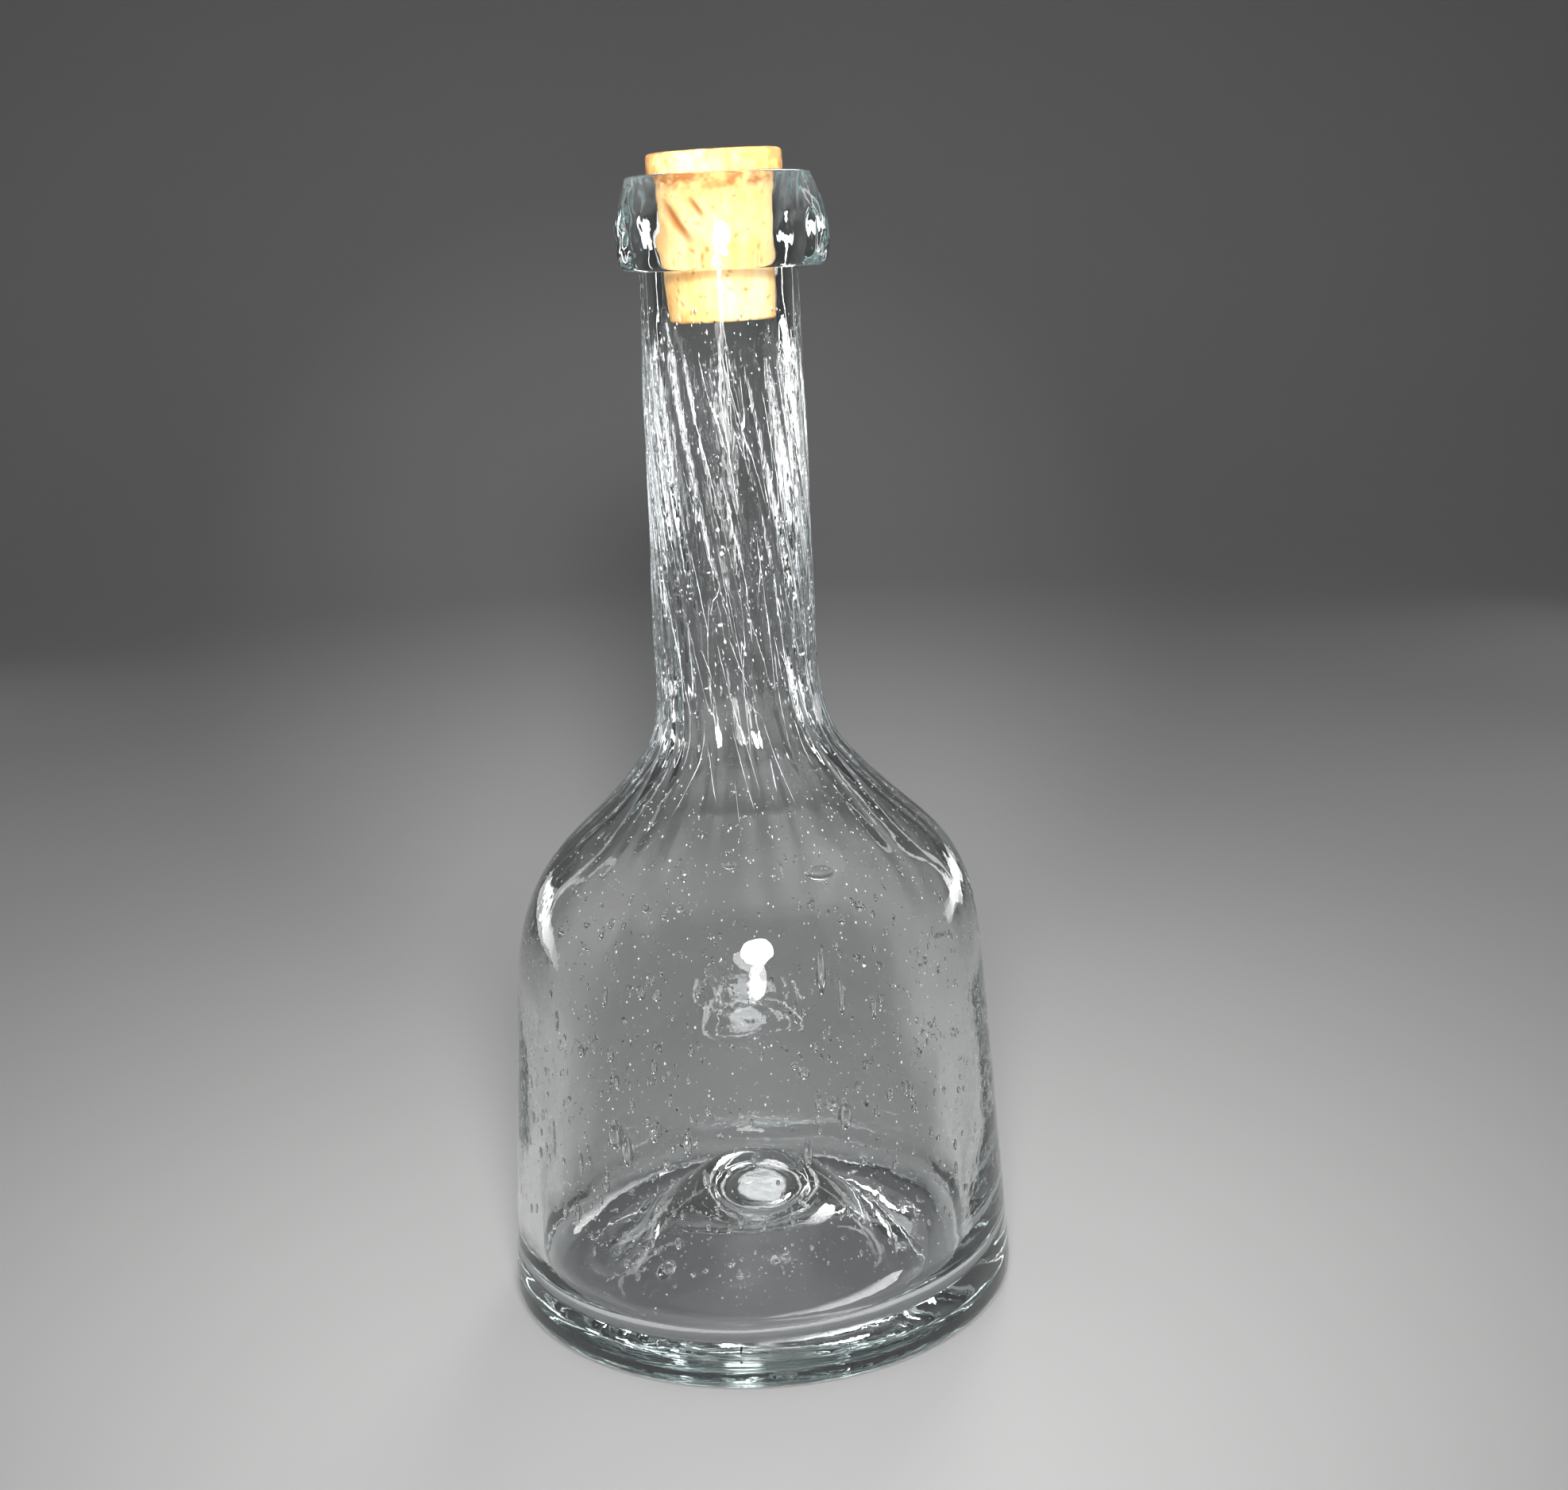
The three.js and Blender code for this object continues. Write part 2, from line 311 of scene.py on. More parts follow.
# What counts as upright wall: all outside this radius, and in the inner outline from this far over the
# floor. Known fault: as high as the floor's crown reaches, this takes its slope along with the wall, so some
# bubbles and specks set there stand too far in, in the air over the floor.
UPRIGHT_RADIUS = BORE_RADIUS - 1
UPRIGHT_FLOOR_GAP = 0.5


def side_of(outline, low, high):
    """The (height, radius) of an outline's upright stretch between two heights, lowest first."""
    rows = outline[(outline[:, 1] >= low) & (outline[:, 1] <= high) & (outline[:, 0] > UPRIGHT_RADIUS)]
    rows = rows[np.argsort(rows[:, 1])]
    return rows[:, 1], rows[:, 0]


OUTER_SIDE = side_of(OUTER, HEEL_HEIGHT, NECK_END)
INNER_SIDE = side_of(INNER, FLOOR_THICKNESS + UPRIGHT_FLOOR_GAP, RIM - RIM_ROUNDING)


def shoulder_lean(height):
    """How far the shoulder leans to one side at a height."""
    along = np.clip((height - BODY_HEIGHT) / (SHOULDER_RISE + ROOT_RISE), 0, 1)
    return SHOULDER_LEAN * np.sin(pi * along) ** 2


def twist(height):
    """How far the neck is turned at a height."""
    return -NECK_TWIST * smoothstep(height, TURN_TOP, RIM)


# Hand-made irregularity of the glass surface

def turn_between(angle, centre):
    """The angle from the centre, between -pi and pi."""
    return np.angle(np.exp(1j * (angle - centre)))


def striae(columns, wave_counts, decay, seed):
    """A closed random curve round the neck, as many fine lines drawn along the glass would give."""
    draw = np.random.default_rng(seed)
    angle = 2 * pi * np.arange(columns) / columns
    total = np.zeros(columns)
    for wave in wave_counts:
        total += draw.normal() / wave**decay * np.cos(wave * angle + draw.uniform(0, 2 * pi))
    return total / np.abs(total).max()


def ridge_profile(columns, seed):
    """Rounded ridges of uneven height and spacing, 0 to 1."""
    draw = np.random.default_rng(seed)
    angle = 2 * pi * np.arange(columns) / columns
    pitch = 2 * pi / RIDGES
    total = np.zeros(columns)
    for ridge in range(RIDGES):
        centre = (ridge + draw.uniform(-RIDGE_STRAY, RIDGE_STRAY)) * pitch
        width = pitch * draw.uniform(*RIDGE_WIDTHS)
        gap = turn_between(angle, centre)
        total += draw.uniform(*RIDGE_STRENGTHS) * np.exp(-((gap / width) ** 2))
    return np.minimum(total, 1)


def waves(point, size, seed):
    """Slow noise that rises and falls over a distance of about size."""
    return noise.noise(Vector(point) / size + Vector((seed, 0, 0)))


# Shallow dents that the tool left across the shoulder: (height, degrees round, half reach in degrees, depth)
TOOL_MARKS = [(129.5, -6, 27, 0.22), (139.5, 4, 22, 0.16), (133.5, 150, 40, 0.2), (147.0, -150, 45, 0.15)]
TOOL_MARK_BEND = 1.2
TOOL_MARK_WIDTH = 0.9
# How far beyond the neck's own radius a row may stand and still be on the neck, under the lip band
NECK_MARGIN = 2


def outer_offset(rows, columns):
    """How far the outer surface stands out at each row and column, in mm."""
    height = rows[:, 1][:, None]
    along = np.arange(columns)[None, :] / columns * 2 * pi
    turned = along + twist(height)
    slim = (rows[:, 0] < neck_radius(COLLAR_FOOT) + NECK_MARGIN)[:, None]
    on_neck = slim | (height < NECK_END)
    near_cork = smoothstep(height, COLLAR_FOOT - RIDGE_TOP_FADE, COLLAR_FOOT - RIDGE_TOP_PLAIN)
    ridge = smoothstep(height, TURN_TOP - RIDGE_RUNOUT, TURN_TOP + RIDGE_FADE)
    ridge = ridge * (1 - near_cork) * on_neck
    offset = RIDGE_HEIGHT * ridge * ridge_profile(columns, seed=5)[None, :]
    fine = striae(columns, range(20, 64), decay=0.4, seed=8)[None, :]
    drawn = smoothstep(height, TURN_TOP - STRIA_RUNOUT, TURN_TOP + RIDGE_FADE) * on_neck
    drawn = drawn * (1 - STRIA_LOSS_AT_CORK * near_cork)
    offset = offset + STRIA_HEIGHT * fine * drawn
    for mark_height, mark_angle, reach, depth in TOOL_MARKS:
        gap = turn_between(turned, radians(mark_angle)) / radians(reach)
        across = (height - mark_height - TOOL_MARK_BEND * gap ** 2) / TOOL_MARK_WIDTH
        offset = offset - depth * np.exp(-across ** 2 - gap ** 4) * on_neck
    return offset + collar_ribs(rows, along)


def collar_ribs(rows, along):
    """The slanting ribs of the lip band, which fade out towards its front."""
    height = rows[:, 1][:, None]
    up_band = np.clip((height - COLLAR_FOOT) / COLLAR_HEIGHT, 0, 1)
    round_rib = COLLAR_RIBS * (along + COLLAR_TWIST * up_band + twist(height))
    uneven = ((1 - np.cos(along + twist(height))) / 2) ** COLLAR_RIB_BIAS
    outside = (rows[:, 0] > RIM_RADIUS)[:, None]
    return COLLAR_RIB_HEIGHT * uneven * np.cos(round_rib) * np.sin(pi * up_band) * outside


def collar_lean(rows):
    """The lip band sits to one side: most at its foot, half as much at the lip."""
    along = (rows[:, 1] - COLLAR_FOOT) / COLLAR_HEIGHT
    on_band = smoothstep(rows[:, 0], RIM_RADIUS + COLLAR_SHIFT_FROM, RIM_RADIUS + COLLAR_SHIFT_FULL)
    return (COLLAR_SHIFT * (1 - along / 2) * on_band * (rows[:, 1] > NECK_END))[:, None]


# Nearer the axis than this, the punt's underside is left plain
PLAIN_MIDDLE = 1


def surface_points(outline, columns, outside):
    """The vertices of a surface, row by row, in mm."""
    angle = 2 * pi * np.arange(columns) / columns
    radius, height = outline[:, 0][:, None], outline[:, 1][:, None]
    turned = angle[None, :] + twist(height)
    if outside:
        radius = radius + outer_offset(outline, columns) * (radius > PLAIN_MIDDLE)
        near_floor = np.zeros_like(height)
        lean = shoulder_lean(height) + collar_lean(outline)
    else:
        drawn = smoothstep(height, TURN_TOP - RIDGE_RUNOUT, ROOT_TOP)
        drawn = drawn * (1 - smoothstep(height, RIM - BORE_FADE, RIM - BORE_PLAIN))
        fine = striae(columns, range(6, 50), decay=0.7, seed=21)[None, :]
        radius = radius + BORE_STRIA_HEIGHT * fine * drawn
        near_floor = 1 - smoothstep(height, FLOOR_THICKNESS, FLOOR_THICKNESS + FLOOR_REACH)
        lean = shoulder_lean(height) - FLOOR_SHIFT * near_floor
    lift = FLOOR_LEAN / BODY_RADIUS * near_floor * radius * np.sin(turned)
    x = radius * np.sin(turned) + lean
    y = -radius * np.cos(turned)
    z = np.broadcast_to(height, x.shape) + lift
    return np.stack([x, y, z], -1)


# The waves in the body's walls: how far they go in, and the seed of their noise
OUTER_WAVES = (0.12, 3.0)
INNER_WAVES = (0.3, 40.0)
WAVE_SIZE = 22
SMALL_WAVE_SIZE = 6
SMALL_WAVE_SHARE = 0.5
SMALL_WAVE_SQUEEZE = np.array([1, 1, 0.25])
# They start above the heel, end below the neck, and leave the floor alone
WAVES_FROM = 8
WAVES_FULL = 20
WAVES_RUNOUT = 15
WAVES_LEAST_RADIUS = 15


def waved(points, amount, seed):
    """Moves the body's walls in by slow noise, as a blown wall is never quite round."""
    for row in points:
        height = float(row[0][2])
        near_neck = smoothstep(height, ROOT_TOP - WAVES_RUNOUT, ROOT_TOP)
        fade = float(smoothstep(height, WAVES_FROM, WAVES_FULL) * (1 - near_neck))
        if fade == 0:
            continue
        for point in row:
            radius = np.hypot(point[0], point[1])
            if radius < WAVES_LEAST_RADIUS:
                continue
            small = waves(point * SMALL_WAVE_SQUEEZE, SMALL_WAVE_SIZE, seed)
            push = amount * (waves(point, WAVE_SIZE, seed) + SMALL_WAVE_SHARE * small) - amount
            point[:2] += point[:2] / radius * push * fade
    return points


def lumpy(points):
    """Small lumps on the lip band, which was laid on by hand: most at its sides, few in front."""
    for row in points:
        along = (float(row[0][2]) - COLLAR_FOOT) / COLLAR_HEIGHT
        if not 0 < along < 1:
            continue
        for point in row:
            radius = np.hypot(point[0], point[1])
            if radius < RIM_RADIUS + COLLAR_LUMP_CLEAR:
                continue
            at_side = COLLAR_LUMP_IN_FRONT + (1 - COLLAR_LUMP_IN_FRONT) * (point[0] / radius) ** 2
            push = COLLAR_LUMP * at_side * np.sin(pi * along) * waves(point, COLLAR_LUMP_SIZE, seed=60.0)
            point[:2] += point[:2] / radius * push
    return points


# Building closed surfaces

class Shell:
    """Collects vertices and faces of one mesh."""

    def __init__(self):
        self.points = []
        self.faces = []

    def rows(self, rows):
        """Adds rings of vertices and the faces between them; a ring may be one point."""
        starts = []
        for ring in rows:
            starts.append((len(self.points), len(ring)))
            self.points.extend(np.asarray(ring, float))
        for (a, size_a), (b, size_b) in zip(starts, starts[1:]):
            if size_a == 1:
                self.faces.extend((a, b + (i + 1) % size_b, b + i) for i in range(size_b))
            elif size_b == 1:
                self.faces.extend((a + i, a + (i + 1) % size_a, b) for i in range(size_a))
            else:
                self.faces.extend(self.between(a, size_a, b, size_b))

    @staticmethod
    def between(a, size_a, b, size_b):
        """The faces between two rings, where one may have twice as many vertices as the other."""
        few = min(size_a, size_b)
        step_a, step_b = size_a // few, size_b // few
        for i in range(few):
            low = [a + (i * step_a + n) % size_a for n in range(step_a + 1)]
            high = [b + (i * step_b + n) % size_b for n in range(step_b + 1)]
            yield tuple(low + high[::-1])

    def piece(self, name, material):
        """Makes the mesh, in metres, an object of the scene."""
        mesh = bpy.data.meshes.new(name)
        mesh.from_pydata([tuple(p * MM) for p in self.points], [], self.faces)
        mesh.shade_smooth()
        mesh.materials.append(material)
        piece = bpy.data.objects.new(name, mesh)
        bpy.context.scene.collection.objects.link(piece)
        return piece


def rings(points, coarse_below=None):
    """Rings for Shell.rows: a ring of no radius on the axis is one point, and low rings are thinned by half.

    The inner floor's crown ends beside the axis, so its last ring keeps its vertices, all in one place.
    """
    thinned = []
    for row in points:
        if np.ptp(row[:, :2]) < SAME_PLACE:
            thinned.append(row[:1])
        elif coarse_below is not None and row[:, 2].mean() < coarse_below:
            thinned.append(row[::2])
        else:
            thinned.append(row)
    return thinned


# Seeds: bubbles as cavities in the wall, longer than wide where the glass was drawn

# Facets of each kind: rings along it and sides round it
LARGE_SEED_FACETS = (9, 12)
BLISTER_FACETS = (9, 16)
SMALL_SEED_FACETS = (4, 7)
SPECK_FACETS = (1, 4)
THREAD_SIDES = 4


def wall_place(angle, height, depth):
    """A point in the wall, from its column angle, its height and its depth (0 outside, 1 inside)."""
    outer = np.interp(height, *OUTER_SIDE)
    inner = np.interp(height, *INNER_SIDE)
    radius = outer + (inner - outer) * depth
    turned = angle + twist(height)
    return np.array([
        radius * np.sin(turned) + shoulder_lean(height),
        -radius * np.cos(turned),
        height,
    ])


def wall_thickness(height):
    return np.interp(height, *OUTER_SIDE) - np.interp(height, *INNER_SIDE)


def cavity(shell, centres, across, through, half_widths, half_depths, sides):
    """A closed hollow round a line of centres, with its faces turned inwards."""
    rows = []
    around = 2 * pi * np.arange(sides) / sides
    for centre, wide, deep in zip(centres, half_widths, half_depths):
        if wide < SAME_PLACE:
            rows.append(np.array([centre]))
            continue
        sideways = np.outer(np.cos(around) * wide, across)
        rows.append(centre + sideways + np.outer(np.sin(around) * deep, through))
    shell.rows(rows)


# How far above a bubble's middle the wall's direction is taken
WALL_STEP = 0.5


def seed(shell, angle, height, depth, width, length, thickness, facets):
    """One bubble in the wall: width round the vessel, length up the wall, thickness through it."""
    place = wall_place(angle, height, depth)
    above = wall_place(angle, height + WALL_STEP, depth)
    up = (above - place) / np.linalg.norm(above - place)
    turned = angle + twist(height)
    across = np.array([cos(turned), sin(turned), 0])
    across -= up * np.dot(across, up)
    across /= np.linalg.norm(across)
    through = np.cross(up, across)
    rings_count, sides = facets
    t = np.linspace(-pi / 2, pi / 2, rings_count + 2)
    centres = [place + up * length / 2 * s for s in np.sin(t)]
    swell = np.cos(t)
    swell[0] = swell[-1] = 0
    cavity(shell, centres, across, through, swell * width / 2, swell * thickness / 2, sides)


# How a thread is divided, and how much it thins between its beads
THREAD_STEP = 2.5
THREAD_LEAST_STEPS = 5
THREAD_BEADING = 0.3
THREAD_BEADS = 5


def thread(shell, angle, foot, length, width, depth, slip):
    """A bubble drawn out to a long thread along the neck."""
    steps = max(THREAD_LEAST_STEPS, int(length / THREAD_STEP))
    t = np.linspace(0, 1, steps + 1)
    heights = foot + length * t
    angles = angle + slip * (t - 0.5)
    centres = np.array([wall_place(a, h, depth) for a, h in zip(angles, heights)])
    beads = (1 - THREAD_BEADING) + THREAD_BEADING * np.sin(THREAD_BEADS * pi * t + angle)
    swell = np.sqrt(np.maximum(0, 1 - (2 * t - 1) ** 2)) * beads
    swell[0] = swell[-1] = 0
    turned = angle + twist(foot + length / 2)
    across = np.array([cos(turned), sin(turned), 0])
    through = np.array([sin(turned), -cos(turned), 0])
    cavity(shell, centres, across, through, swell * width / 2, swell * width / 2, THREAD_SIDES)


# Bubbles that stand out: (degrees round from the front, height, width, length)
LARGE_SEEDS = [
    (-25, 26, 3.6, 6.6), (-31, 57, 3.2, 8.6), (-16, 60, 2.3, 6.0), (-23, 63, 2.4, 3.8), (-21, 55, 2.0, 3.2),
    (11, 57, 2.2, 7.0), (20, 65, 3.4, 7.8), (17, 68, 3.2, 3.6), (37, 67, 2.0, 4.0), (32, 67, 2.0, 3.5),
    (3, 28, 2.3, 3.0), (6, 28, 2.4, 3.4), (-19, 36, 1.8, 2.9), (-43, 21, 1.8, 3.3), (-53, 19, 2.2, 3.3),
    (42, 23, 2.1, 3.6), (-32, 29, 1.8, 2.2), (-55, 53, 1.1, 10.0), (-45, 50, 1.4, 6.2), (-31, 111, 2.0, 2.4),
    (-25, 110, 1.7, 2.0), (-21, 112, 1.9, 2.4), (23, 108, 1.9, 2.4), (29, 110, 2.2, 2.8),
    (-27, 94, 2.0, 3.0), (-23, 94, 1.9, 2.8), (-34, 60, 4.6, 7.4), (-24, 62, 2.4, 5.2),
    (-51, 37, 2.1, 5.6), (-46, 38, 1.5, 4.4),
    (-37, 47, 1.8, 3.2), (-12, 52, 1.7, 4.2), (16, 98, 2.3, 10.0), (21, 92, 1.7, 8.4), (29, 88, 1.7, 5.2),
    (38, 66, 2.0, 4.6), (14, 69, 1.7, 5.2), (28, 64, 1.7, 2.8), (39, 62, 2.0, 2.9), (9, 78, 1.9, 2.0),
    (11, 76, 2.5, 3.0), (24, 53, 2.0, 2.5), (32, 50, 1.4, 2.1), (-44, 78, 2.3, 3.5), (-40, 80, 1.4, 3.8),
    (-35, 79, 2.0, 3.8), (-37, 92, 1.4, 4.9), (-53, 83, 1.4, 5.4), (-7, 22, 1.7, 2.4), (-11, 22, 1.4, 1.8),
]
LARGE_SEED_DEPTHS = (0.42, 0.58)
LARGE_SEED_WALL_SHARE = 0.55
# Broad flat blisters near the shoulder
BLISTERS = [(20, 117.5, 6.6, 4.2), (-8, 120, 3.6, 2.2)]
BLISTER_DEPTH = 0.3
BLISTER_THICKNESS = 0.7
# Small bubbles everywhere in the body and the shoulder, most of them in the lower half. Widths, here and
# below, are given as the least one, the spread and how strongly they crowd near the least.
SMALL_SEEDS = 620
SMALL_SEED_FOOT = 12
SMALL_SEED_REACH = 116
SMALL_SEED_CROWDING = (1.2, 1.7)
SMALL_SEED_WIDTHS = (0.7, 1.2, 1.2)
SMALL_SEED_STRETCH = (1.1, 2.6)
SMALL_SEED_DEPTHS = (0.3, 0.7)


def mostly_small(draw, least, spread, crowding):
    """A random size from the least one up by the spread at most, and seldom near the most."""
    return least + spread * draw.beta(crowding, 3)


def add_seeds(shell):
    for angle, height, width, length in LARGE_SEEDS:
        thickness = min(width, LARGE_SEED_WALL_SHARE * wall_thickness(height))
        depth = rng.uniform(*LARGE_SEED_DEPTHS)
        seed(shell, radians(angle), height, depth, width, length, thickness, LARGE_SEED_FACETS)
    for angle, height, width, length in BLISTERS:
        seed(shell, radians(angle), height, BLISTER_DEPTH, width, length, BLISTER_THICKNESS, BLISTER_FACETS)
    for _ in range(SMALL_SEEDS):
        height = float(rng.beta(*SMALL_SEED_CROWDING) * SMALL_SEED_REACH + SMALL_SEED_FOOT)
        width = mostly_small(rng, *SMALL_SEED_WIDTHS)
        length = width * rng.uniform(*SMALL_SEED_STRETCH)
        angle = rng.uniform(-pi, pi)
        depth = rng.uniform(*SMALL_SEED_DEPTHS)
        seed(shell, angle, height, depth, width, length, width, SMALL_SEED_FACETS)


# What is too fine to read as a bubble: specks all over and threads drawn along the neck. They scatter
# light like white dust, so they are solid and stand inside the glass.

# How many, between which heights, how wide, how deep in the wall and how much longer than wide
SPECKS = [
    (3400, (7, 134), (0.25, 0.55, 1.1), (0.15, 0.85), (1, 2)),
    (1300, (TURN_TOP - 8, COLLAR_FOOT - 8), (0.2, 0.45, 1.1), (0.2, 0.8), (1, 5)),
]
THREADS = 190
THREAD_FOOT = TURN_TOP - 4
THREAD_TOP = COLLAR_FOOT - 12
THREAD_LENGTHS = (6, 40)
THREAD_WIDTHS = (0.12, 0.30)
THREAD_DEPTHS = (0.25, 0.75)
THREAD_SLIPS = (-0.25, 0.25)


def add_specks(shell):
    for count, heights, widths, depths, stretches in SPECKS:
        for _ in range(count):
            height = rng.uniform(*heights)
            width = mostly_small(rng, *widths)
            angle = rng.uniform(-pi, pi)
            depth = rng.uniform(*depths)
            seed(shell, angle, height, depth, width, width * rng.uniform(*stretches), width, SPECK_FACETS)
    for _ in range(THREADS):
        length = rng.uniform(*THREAD_LENGTHS)
        foot = rng.uniform(THREAD_FOOT, THREAD_TOP - length)
        angle = rng.uniform(-pi, pi)
        width = rng.uniform(*THREAD_WIDTHS)
        depth = rng.uniform(*THREAD_DEPTHS)
        thread(shell, angle, foot, length, width, depth, rng.uniform(*THREAD_SLIPS))


# Materials

def new_material(name):
    material = bpy.data.materials.new(name)
    material.use_nodes = True
    tree = material.node_tree
    return material, tree, tree.nodes["Principled BSDF"]


def put(node, **values):
    """Sets a node's inputs by their names, with _ for a space."""
    for name, value in values.items():
        node.inputs[name.replace("_", " ")].default_value = value
    return node


def add(tree, kind, **values):
    return put(tree.nodes.new(kind), **values)


def add_attribute(tree, name):
    node = tree.nodes.new("ShaderNodeAttribute")
    node.attribute_name = name
    return node


def add_ramp(tree, first, last, between=()):
    """A colour ramp from its (position, colour) stops."""
    node = tree.nodes.new("ShaderNodeValToRGB")
    elements = node.color_ramp.elements
    elements[0].position, elements[0].color = first
    elements[1].position, elements[1].color = last
    for position, colour in between:
        elements.new(position).color = colour
    return node


def wire(tree, *links):
    """Joins sockets, each link as (node, its output, node, its input)."""
    for source, output, target, socket in links:
        tree.links.new(source.outputs[output], target.inputs[socket])


GLASS_TINT = (0.74, 0.90, 0.89, 1)
GLASS_TINT_DENSITY = 7.0
# What each glass surface lets through to a shadow
GLASS_SHADOW = (0.62, 0.62, 0.63, 1)


def glass_material():
    """Clear glass with a faint tint in its depth, faint waves all over and ripples drawn along the neck."""
    material, tree, shader = new_material("seeded_glass")
    put(shader, Base_Color=(1, 1, 1, 1), Transmission_Weight=1.0, Roughness=0.0, IOR=1.5)
    output = tree.nodes["Material Output"]
    absorb = add(tree, "ShaderNodeVolumeAbsorption", Color=GLASS_TINT, Density=GLASS_TINT_DENSITY)
    path = tree.nodes.new("ShaderNodeLightPath")
    veil = add(tree, "ShaderNodeBsdfTransparent", Color=GLASS_SHADOW)
    lit = tree.nodes.new("ShaderNodeMixShader")
    wire(
        tree,
        (absorb, "Volume", output, "Volume"),
        (path, "Is Shadow Ray", lit, 0),
        (shader, "BSDF", lit, 1),
        (veil, "BSDF", lit, 2),
        (lit, "Shader", output, "Surface"),
    )
    coordinates = tree.nodes.new("ShaderNodeTexCoord")
    ripples = add(tree, "ShaderNodeTexNoise", Scale=140.0, Detail=3.0, Roughness=0.5)
    bump = add(tree, "ShaderNodeBump", Strength=0.25, Distance=0.0002)
    drawn = add_attribute(tree, "drawn")
    squeeze = add(tree, "ShaderNodeMapping", Scale=(1, 1, 0.18))
    fine = add(tree, "ShaderNodeTexNoise", Scale=550.0, Detail=2.0, Roughness=0.5)
    drawn_bump = add(tree, "ShaderNodeBump", Distance=0.00028)
    wire(
        tree,
        (coordinates, "Object", ripples, "Vector"),
        (ripples, "Fac", bump, "Height"),
        (coordinates, "Object", squeeze, "Vector"),
        (squeeze, "Vector", fine, "Vector"),
        (fine, "Fac", drawn_bump, "Height"),
        (drawn, "Fac", drawn_bump, "Strength"),
        (bump, "Normal", drawn_bump, "Normal"),
        (drawn_bump, "Normal", shader, "Normal"),
    )
    return material


SPECK_DARK = (0.45, 0.48, 0.50, 1)
SPECK_LIGHT = (0.92, 0.95, 0.95, 1)


def speck_material():
    material, tree, shader = new_material("fine_seeds")
    coordinates = tree.nodes.new("ShaderNodeTexCoord")
    shades = add(tree, "ShaderNodeTexNoise", Scale=400.0, Detail=1.0)
    colours = add_ramp(tree, (0.35, SPECK_DARK), (0.6, SPECK_LIGHT))
    wire(
        tree,
        (coordinates, "Object", shades, "Vector"),
        (shades, "Fac", colours, "Fac"),
        (colours, "Color", shader, "Base Color"),
    )
    put(shader, Roughness=0.3)
    return material


CORK_DARK = (0.62, 0.23, 0.045, 1)
CORK_MIDDLE = (0.93, 0.55, 0.20, 1)
CORK_LIGHT = (1.0, 0.79, 0.44, 1)
# Colour of the pits and slits, also used for the painted shade under the cork's head
CORK_MARK_AND_SHADE = (0.36, 0.12, 0.025, 1)
CORK_PATCH_SHARE = 0.45


def cork_material():
    """Mottled cork in fine grain and broad patches, darker by the mesh's marks: its pits and slits, the
    wear, the head's tint and the painted shade under the head and at its lower edge.
    """
    material, tree, shader = new_material("natural_cork")
    coordinates = tree.nodes.new("ShaderNodeTexCoord")
    stretch = add(tree, "ShaderNodeMapping", Scale=(1, 1, 0.45))
    grain = add(tree, "ShaderNodeTexNoise", Scale=260.0, Detail=8.0, Roughness=0.62)
    patches = add(tree, "ShaderNodeTexNoise", Scale=70.0, Detail=3.0, Roughness=0.5)
    blend = tree.nodes.new("ShaderNodeMix")
    blend.data_type = "FLOAT"
    blend.inputs[0].default_value = CORK_PATCH_SHARE
    colours = add_ramp(tree, (0.30, CORK_DARK), (0.68, CORK_LIGHT), [(0.47, CORK_MIDDLE)])
    # The mesh's darkening: pits, slits, wear, the head's tint and painted shade under the head
    marks_and_shade = add_attribute(tree, "dark_marks_and_shade")
    darken = tree.nodes.new("ShaderNodeMix")
    darken.data_type = "RGBA"
    darken.inputs["B"].default_value = CORK_MARK_AND_SHADE
    bump = add(tree, "ShaderNodeBump", Strength=0.6, Distance=0.0004)
    wire(
        tree,
        (coordinates, "Object", stretch, "Vector"),
        (stretch, "Vector", grain, "Vector"),
        (coordinates, "Object", patches, "Vector"),
        (grain, "Fac", blend, 2),
        (patches, "Fac", blend, 3),
        (blend, 0, colours, "Fac"),
        (marks_and_shade, "Fac", darken, "Factor"),
        (colours, "Color", darken, "A"),
        (darken, "Result", shader, "Base Color"),
        (grain, "Fac", bump, "Height"),
        (bump, "Normal", shader, "Normal"),
    )
    put(shader, Roughness=0.82, Specular_IOR_Level=0.3)
    return material


# The glass

def drawn_neck(ring):
    """How far the surface is rippled from drawing: 0 on the body, 1 on the neck, 0 again at the cork."""
    height = ring[:, 2]
    near_cork = smoothstep(height, RIM - RIPPLE_FADE, RIM - RIPPLE_PLAIN)
    return smoothstep(height, TURN_TOP, ROOT_TOP) * (1 - near_cork)


def build_glass(material):
    shell = Shell()
    outer = lumpy(waved(surface_points(OUTER, GLASS_COLUMNS, True), *OUTER_WAVES))
    inner = waved(surface_points(INNER, GLASS_COLUMNS, False), *INNER_WAVES)
    surface = rings(np.concatenate([outer, inner[1:]]), COARSE_BELOW)
    shell.rows(surface)
    add_seeds(shell)
    glass = shell.piece("carafe_glass", material)
    on_surface = np.concatenate([drawn_neck(ring) for ring in surface])
    values = np.zeros(len(shell.points))
    values[:len(on_surface)] = on_surface
    glass.data.attributes.new("drawn", "FLOAT", "POINT").data.foreach_set("value", values)
    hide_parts("glass_vessel", "lip_collar")
    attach(glass, "vessel")


def build_specks(material):
    shell = Shell()
    add_specks(shell)
    specks = shell.piece("fine_seeds", material)
    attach(specks, "vessel")


# The cork

SEAT = RIM + SEAT_CLEARANCE
CORK_TOP = SEAT + HEAD_HEIGHT
CORK_FOOT = CORK_TOP - STOPPER_LENGTH
CORK_TILT = radians(1.0)
CORK_DROP = 0.35

